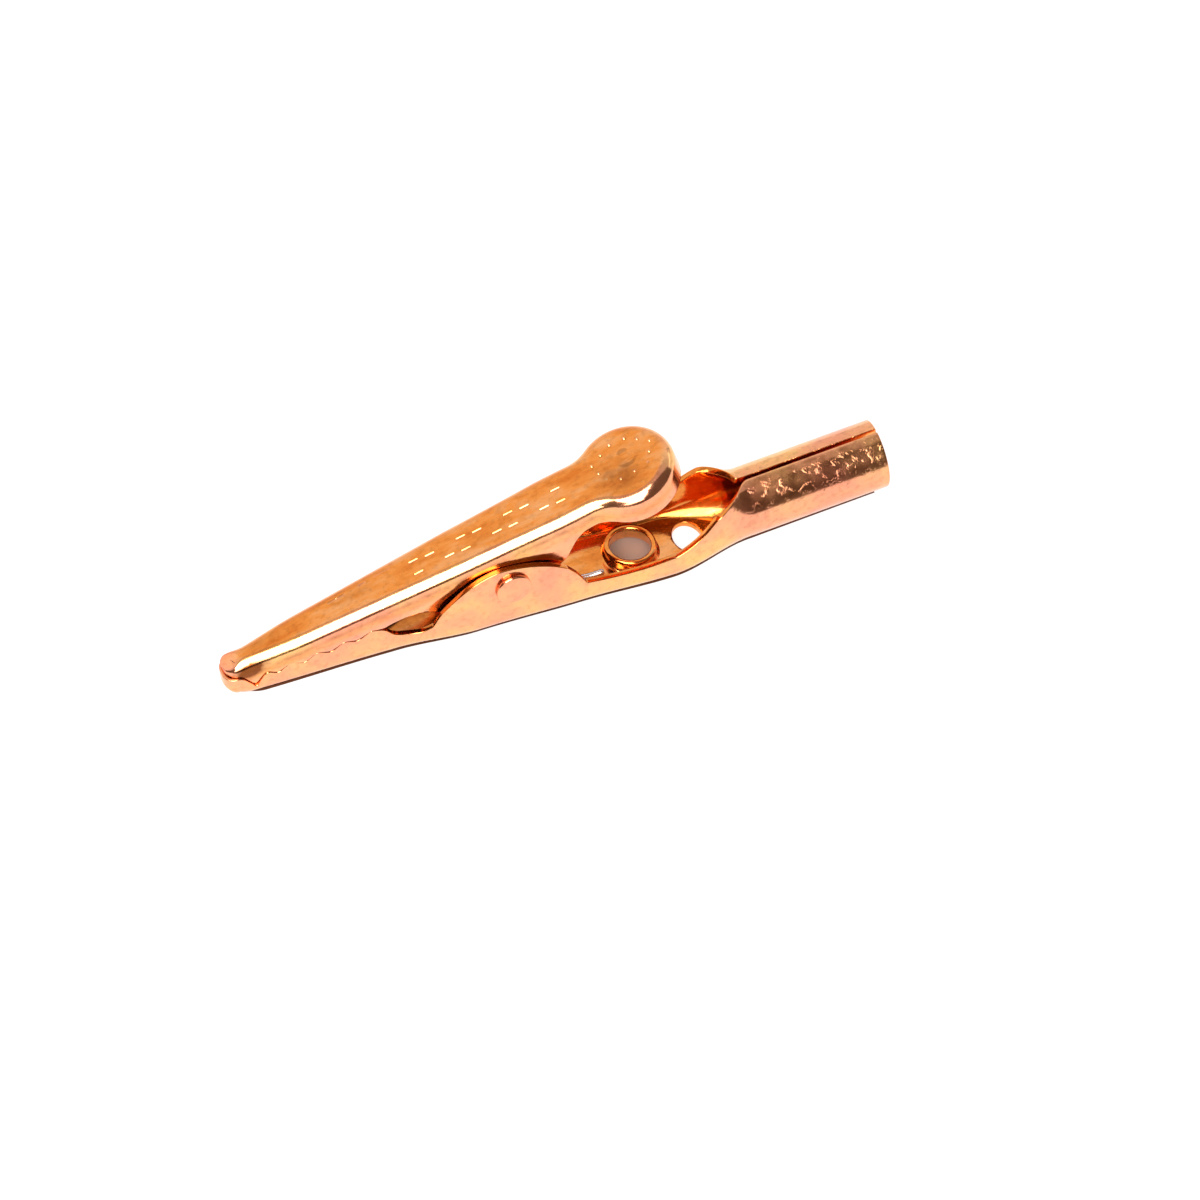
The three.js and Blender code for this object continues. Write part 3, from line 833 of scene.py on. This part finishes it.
def bright_marks(plan):
    """Where the stamping has laid bright copper bare, 0 to 1."""
    u, v = plan.T
    bare = np.where(arm_marks(u, v) > 0.45, arm_marks(u, v), 0)
    for dot in dots():
        bare = np.maximum(bare, np.exp(-((np.hypot(u - dot[0], v - dot[1]) / DOT_RADIUS) ** 4)))
    return bare


def top_tarnish_and_facet_sheen(points):
    """The tarnish of the arm's top, which stops short of the nose's slanting facet, so the facet is
    left lighter as a painted reflection.
    """
    return eased(points[:, 0], PRESS_X - 0.3, PRESS_X + 0.3, 0.45, 1)


def upper_stains_and_shade(points):
    """How dark each point is: painted shade at the first tooth and in a band under the near fold, and
    real smudges on top.
    """
    x, y, z = points.T
    u, depth = to_plan(x, z)
    # Painted shade: a dark patch on the near wall over the first tooth, where the bend reflects dark.
    ahead = x + 23.4
    dark = 3.2 * np.exp(-((ahead / 0.95) ** 2) - ((z - 2.5 - 0.3 * ahead) / 0.5) ** 2)
    dark = np.where(y < -0.8, dark, 0)
    for at_u, at_v, long, wide, strength in SMUDGES:
        gap = np.hypot((u - at_u) / long, (y - at_v) / wide)
        dark = np.maximum(dark, np.where(depth < 0.4, strength * np.exp(-(gap**2)), 0))
    # Painted shade: a dark band on the near wall just under the fold, fading towards the ends.
    ends = eased(x, -23, -21, 0, 0.45) * eased(x, 2, 4, 1, 0)
    under_fold = np.exp(-(((depth - 0.95) / 0.2) ** 2)) * ends
    return np.where((depth > 0.5) & (y < 0), np.maximum(dark, under_fold), dark)


def barrel_painted_shade(points):
    """How dark each point is: painted shade, a dark band along the near shoulder of the barrel where
    its reflection is dark.
    """
    x, y, z = points.T
    axis = straight(np.maximum(x, BARREL_X), BARREL_X, END_X, BARREL_AXIS_Z, BARREL_END_AXIS_Z)
    angle = np.degrees(np.arctan2(z - axis, -y))
    band = eased(angle, 22, 38, 0, 0.6) * eased(angle, 80, 88, 1, 0)
    return band * eased(x, BARREL_X - 1, BARREL_X + 0.3, 0, 1)


def nose_thickness(points):
    """The upper jaw's sheet, which is drawn thinner at the tip."""
    return eased(points[:, 0], TIP_X + 0.4, TIP_X + 2.2, 0.3, SHEET)


# ---- Rivet and spring ----
def rivet_object(material):
    """A shank with a slightly domed, rounded head on each side."""
    shoulder, end = CHEEK_HALF - 0.06, CHEEK_HALF + RIVET_PROUD
    head, crown, corner = RIVET_HEAD, RIVET_CROWN, RIVET_CORNER
    profile = [(0.0, end), (0.45, end - 0.2 * crown), (0.85, end - 0.7 * crown)]
    for angle in np.linspace(0, math.pi / 2, 7):
        out = head - corner + corner * math.sin(angle)
        profile.append((out, end - crown - corner + corner * math.cos(angle)))
    profile += [(head, shoulder), (RIVET_SHANK, shoulder)]
    profile += [(r, -y) for r, y in profile[::-1]]
    count, points = 64, []
    for r, y in profile:
        for turn in np.arange(count) * 2 * math.pi / count:
            points.append((PIVOT_X + r * math.cos(turn), y, PIVOT_Z + r * math.sin(turn)))
    piece = mesh_object("rivet", points, tube_faces(len(profile), count), material)
    tidy_mesh(piece)
    return piece


def tidy_mesh(piece):
    """Merges doubled points and makes the faces point out."""
    bm = bmesh.new()
    bm.from_mesh(piece.data)
    bmesh.ops.remove_doubles(bm, verts=bm.verts, dist=1e-7)
    bmesh.ops.recalc_face_normals(bm, faces=bm.faces)
    bm.to_mesh(piece.data)
    bm.free()


def spring_path():
    """The wire's centre line: lower leg, coil round the rivet, upper leg."""
    side = SPRING_TURNS * SPRING_PITCH / 2
    rest = SHEET + SPRING_WIRE / 2 + 0.05
    floor = float(underside(np.array(LOWER_LEG_X))) + rest
    slope = math.tan(TOP_SLOPE)
    points = [(LOWER_LEG_X, -side - SPRING_SPLAY, floor)]
    points.append((LOWER_LEG_X - 2.2, -side - 0.7 * SPRING_SPLAY, floor + 0.05))
    total = (2 * SPRING_TURNS + 1) * math.pi
    for share in np.linspace(0, 1, 16 * SPRING_TURNS + 1):
        angle = -math.pi / 2 - share * total
        x = PIVOT_X + COIL_RADIUS * math.cos(angle)
        z = PIVOT_Z + COIL_RADIUS * math.sin(angle)
        points.append((x, side * (2 * share - 1), z))
    for x in (UPPER_LEG_X - 2, UPPER_LEG_X):
        points.append((x, side, TOP_AT_ORIGIN + x * slope - rest / COS_SLOPE))
    return softened(resampled(spline(points, 8), 0.1), 6)


def spring_object(material):
    """The wire as a tube along its path, with its ends slightly rounded."""
    path = spring_path()
    count = 20
    ahead = np.gradient(path, axis=0)
    ahead /= np.linalg.norm(ahead, axis=1, keepdims=True)
    up = np.array([0.0, 1.0, 0.0])
    points = []
    radii = np.full(len(path), SPRING_WIRE / 2)
    for k, share in enumerate((0.72, 0.9)):
        radii[k] = radii[-1 - k] = SPRING_WIRE / 2 * share
    for p, t, r in zip(path, ahead, radii):
        up = up - t * (up @ t)
        up /= np.linalg.norm(up)
        out = np.cross(t, up)
        for turn in np.arange(count) * 2 * math.pi / count:
            points.append(p + r * (math.cos(turn) * up + math.sin(turn) * out))
    faces = tube_faces(len(path), count)
    faces.append(tuple(range(count)))
    faces.append(tuple((len(path) - 1) * count + j for j in range(count)))
    piece = mesh_object("spring", points, faces, material)
    tidy_mesh(piece)
    return piece


# ---- Materials ----
class Nodes:
    """A material's node tree with short ways to add and join nodes."""

    def __init__(self, name):
        self.material = bpy.data.materials.new(name)
        self.material.use_nodes = True
        self.tree = self.material.node_tree
        self.shader = self.tree.nodes["Principled BSDF"]
        self.place = self.add("ShaderNodeTexCoord").outputs["Object"]

    def add(self, kind, **settings):
        node = self.tree.nodes.new(kind)
        for key, value in settings.items():
            setattr(node, key, value)
        return node

    def link(self, source, target):
        self.tree.links.new(source, target)

    def feed(self, value, socket):
        """Joins another node's output to the socket, or sets the socket to a plain value."""
        if hasattr(value, "links"):
            self.link(value, socket)
        else:
            socket.default_value = value

    def noise(self, scale, detail, stretch=(1, 1, 1), roughness=0.55, turn=0.0):
        """Noise of that many features a metre, stretched and turned about Y."""
        mapping = self.add("ShaderNodeMapping")
        mapping.inputs["Scale"].default_value = stretch
        mapping.inputs["Rotation"].default_value = (0, turn, 0)
        self.link(self.place, mapping.inputs["Vector"])
        node = self.add("ShaderNodeTexNoise")
        node.inputs["Scale"].default_value = scale
        node.inputs["Detail"].default_value = detail
        node.inputs["Roughness"].default_value = roughness
        self.link(mapping.outputs["Vector"], node.inputs["Vector"])
        return node.outputs["Fac"]

    def ramp(self, value, stops):
        """Maps a value through coloured or grey stops."""
        node = self.add("ShaderNodeValToRGB")
        ramp = node.color_ramp
        while len(ramp.elements) < len(stops):
            ramp.elements.new(0.5)
        for element, (at, colour) in zip(ramp.elements, stops):
            element.position = at
            element.color = (*colour, 1)
        self.link(value, node.inputs["Fac"])
        return node.outputs["Color"]

    def mix(self, share, a, b, blend="MIX"):
        node = self.add("ShaderNodeMix", data_type="RGBA", blend_type=blend)
        for value, index in ((share, 0), (a, 6), (b, 7)):
            self.feed(value, node.inputs[index])
        return node.outputs[2]

    def math(self, operation, a, b):
        node = self.add("ShaderNodeMath", operation=operation)
        self.feed(a, node.inputs[0])
        self.feed(b, node.inputs[1])
        return node.outputs[0]

    def bump(self, height, distance, strength, under=None):
        node = self.add("ShaderNodeBump")
        node.inputs["Distance"].default_value = distance
        node.inputs["Strength"].default_value = strength
        self.link(height, node.inputs["Height"])
        if under is not None:
            self.link(under, node.inputs["Normal"])
        return node.outputs["Normal"]


def grey(value):
    return (value, value, value)


def copper_material(name, turn=0.0):
    """Bright copper with clouds of tone, a duller streaked skin where tarnished, dark brown where
    stained and where shade is painted, and pits.
    """
    n = Nodes(name)
    shader = n.shader
    shader.inputs["Metallic"].default_value = 1.0
    clouds = n.noise(260, 4, turn=turn)
    streaks = n.noise(620, 5, stretch=(0.25, 1, 1), roughness=0.65, turn=TOP_SLOPE)
    bright_stops = [(0.34, (0.91, 0.35, 0.21)), (0.5, (0.94, 0.43, 0.215)), (0.66, (0.96, 0.53, 0.2))]
    dull_stops = [(0.36, (0.78, 0.22, 0.035)), (0.5, (0.92, 0.32, 0.065)), (0.64, (0.95, 0.43, 0.16))]
    bright, dull = n.ramp(clouds, bright_stops), n.ramp(streaks, dull_stops)
    tarnish_and_painted_light = n.add("ShaderNodeAttribute", attribute_name="tarnish_and_painted_light").outputs["Fac"]
    stains_and_shade = n.add("ShaderNodeAttribute", attribute_name="stains_and_shade").outputs["Fac"]
    # Real tarnish, with painted shade and painted light in the same mask, picks the dull streaked
    # copper.
    colour = n.mix(tarnish_and_painted_light, bright, dull)
    # Real stains and painted shade turn the colour dark brown.
    patchy = n.math("MULTIPLY", stains_and_shade, n.ramp(n.noise(900, 4), [(0.35, grey(0.35)), (0.6, grey(1.0))]))
    colour = n.mix(patchy, colour, (0.26, 0.075, 0.02, 1))
    specks = n.ramp(n.noise(2300, 3), [(0.33, grey(0.78)), (0.5, grey(1.0))])
    n.link(n.mix(0.7, colour, specks, "MULTIPLY"), shader.inputs["Base Color"])
    rough = n.ramp(n.noise(700, 5), [(0.3, grey(0.10)), (0.7, grey(0.2))])
    n.link(rough, shader.inputs["Roughness"])
    x = n.add("ShaderNodeSeparateXYZ")
    n.link(n.place, x.inputs["Vector"])
    length_share = n.math("MULTIPLY", x.outputs["X"], 1 / (END_X * MM))
    on_barrel = n.ramp(length_share, [(0.46, grey(0.12)), (0.62, grey(1.0))])
    pits = n.ramp(n.noise(1700, 4, roughness=0.6), [(0.54, grey(0.0)), (0.62, grey(1.0))])
    worn = n.bump(n.math("MULTIPLY", pits, on_barrel), 0.000009, 0.8)
    peel = n.bump(n.noise(420, 2), 0.00003, 0.5, worn)
    n.link(n.bump(n.noise(5200, 3, stretch=(0.35, 1, 1)), 0.000005, 0.7, peel), shader.inputs["Normal"])
    return n.material


def steel_material():
    """Drawn spring wire, pale and slightly uneven."""
    n = Nodes("spring_steel")
    shader = n.shader
    shader.inputs["Metallic"].default_value = 1.0
    tone = n.ramp(n.noise(900, 4), [(0.3, (0.62, 0.63, 0.65)), (0.7, (0.78, 0.78, 0.79))])
    n.link(tone, shader.inputs["Base Color"])
    n.link(n.ramp(n.noise(2600, 3), [(0.3, grey(0.2)), (0.7, grey(0.34))]), shader.inputs["Roughness"])
    n.link(n.bump(n.noise(6000, 3), 0.000004, 0.6), shader.inputs["Normal"])
    return n.material


# ---- Stage ----
def camera():
    """A long lens that looks at the clip from its near side and from above."""
    data = bpy.data.cameras.new("camera")
    piece = bpy.data.objects.new("camera", data)
    bpy.context.scene.collection.objects.link(piece)
    right = Vector((0.932, -0.359, -0.038)).normalized()
    back = Vector((-0.201, -0.605, 0.769))
    back = (back - right * back.dot(right)).normalized()
    up = back.cross(right)
    pivot = Vector(to_frame([(PIVOT_X, 0, PIVOT_Z)])[0])
    target = pivot + right * 0.00719 - up * 0.00291
    distance, view_width = 0.6, 0.0854
    data.sensor_width = 36
    data.lens = 36 * distance / view_width
    data.clip_start, data.clip_end = 0.01, 20
    turn = Matrix((right, up, back)).transposed()
    piece.matrix_world = Matrix.Translation(target + back * distance) @ turn.to_4x4()
    bpy.context.scene.camera = piece


def area_light(name, place, target, size, power):
    """A rectangular soft light that faces its target."""
    data = bpy.data.lights.new(name, "AREA")
    data.shape = "RECTANGLE"
    data.size, data.size_y = size
    data.energy = power
    piece = bpy.data.objects.new(name, data)
    bpy.context.scene.collection.objects.link(piece)
    piece.location = place
    piece.rotation_mode = "QUATERNION"
    piece.rotation_quaternion = (Vector(target) - Vector(place)).to_track_quat("-Z", "Y")


def stage_face(name, corners, z, colour, glow):
    """A flat piece of the stage, lit and also glowing as a light table does."""
    mesh = bpy.data.meshes.new(name)
    mesh.from_pydata([(x, y, 0) for x, y in corners], [], [tuple(range(len(corners)))])
    n = Nodes(name)
    settings = {"Base Color": (*colour, 1), "Roughness": 0.8, "Specular IOR Level": 0.1}
    settings |= {"Emission Color": (1, 1, 1, 1), "Emission Strength": glow}
    for key, value in settings.items():
        n.shader.inputs[key].default_value = value
    mesh.materials.append(n.material)
    piece = bpy.data.objects.new(name, mesh)
    bpy.context.scene.collection.objects.link(piece)
    piece.location.z = z


def rectangle(low, high):
    return [low, (high[0], low[1]), high, (low[0], high[1])]


def floor():
    """A glowing white table."""
    corners = rectangle((-TABLE_HALF, -TABLE_HALF), (TABLE_HALF, TABLE_HALF))
    stage_face("floor", corners, -0.00004, grey(0.22), 0.85)


def contact_shade():
    """A dark patch on the table where the clip keeps the light from it."""
    x = np.linspace(TIP_X + 1.1, END_X - 0.6, 120)
    body_reach = BODY_HALF - SHADE_INSET - SHADE_SLOPE * float(underside(np.array(BODY_END_X)))
    barrel_reach = straight(np.maximum(x, BARREL_X), BARREL_X, END_X, 1.4, 0.85)
    share = eased(x, BODY_END_X, BARREL_X, 0, 1)
    behind = body_reach + (barrel_reach - body_reach) * share
    reach = np.where(x < BODY_END_X, outer_half(x) - SHADE_INSET - SHADE_SLOPE * underside(x), behind)
    reach *= eased(x, TIP_X + 0.9, TIP_X + 2.8, 0.5, 1)
    across = np.where(x < COLLAR_X - 1.85, 2 * reach, 0.6)
    near, far = np.stack([x, -reach], axis=1), np.stack([x, across - reach], axis=1)
    outline = (np.vstack([near, far[::-1]]) + [CENTRING, 0]) * MM
    stage_face("shade", outline.tolist(), -0.00002, (0.14, 0.055, 0.025), 0.0)


def collar_shade():
    """A patch of painted shade on the table, which shows through the collar."""
    low = ((COLLAR_X - 3.5 + CENTRING) * MM, -2 * MM)
    high = ((COLLAR_X + 2.3 + CENTRING) * MM, 3.3 * MM)
    stage_face("collar_shade", rectangle(low, high), -0.00003, (0.50, 0.36, 0.29), 0.0)


def world(level):
    """A dim warm surround at the given strength."""
    made = bpy.data.worlds.new("world")
    made.use_nodes = True
    background = made.node_tree.nodes["Background"]
    background.inputs["Color"].default_value = (1, 0.8, 0.64, 1)
    background.inputs["Strength"].default_value = level
    bpy.context.scene.world = made


# ---- Build ----
camera()
copper = copper_material("copper")
rivet_copper = copper_material("rivet_copper", 0.7)

lower = sheet_object("lower_jaw_shell", lower_jaw_skin(), copper, barrel_painted_shade)
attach(lower, "lower")
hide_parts("lower_jaw")

upper = sheet_object("upper_jaw_shell", upper_jaw_skin(), copper, upper_stains_and_shade)
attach(upper, "upper")
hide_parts("upper_jaw")

rivet = rivet_object(rivet_copper)
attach(rivet, "lower")
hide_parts("pivot_rivet")

spring = spring_object(steel_material())
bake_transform(spring)
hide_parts("torsion_spring")

floor()
contact_shade()
collar_shade()
world(0.16)
area_light("softbox", (-0.215, -0.39, 0.5), (-0.215, -0.39, 0), (0.47, 0.72), 8.5)
area_light("front_card", (-0.3, -0.75, 0.39), (-0.3, 0, 0.39), (0.6, 0.22), 2.2)
area_light("backdrop", (0, 0.5, 0.25), (0, 0, 0.25), (1.6, 0.5), 1.95)
area_light("upper_back", (0.2, 0.35, 0.5), (0.2, 0.35, 0), (2.2, 0.3), 1.7)
area_light("upper_middle", (0.2, 0.085, 0.5), (0.2, 0.085, 0), (2.2, 0.23), 0.75)
area_light("left_card", (-0.6, 0.48, 0.25), (-0.6, 0, 0.25), (0.45, 0.5), 0.2)
area_light("side_card", (0.9, 0.22, 0.25), (0, 0.22, 0.25), (0.56, 0.5), 0.7)
bpy.context.scene.view_settings.view_transform = "Standard"
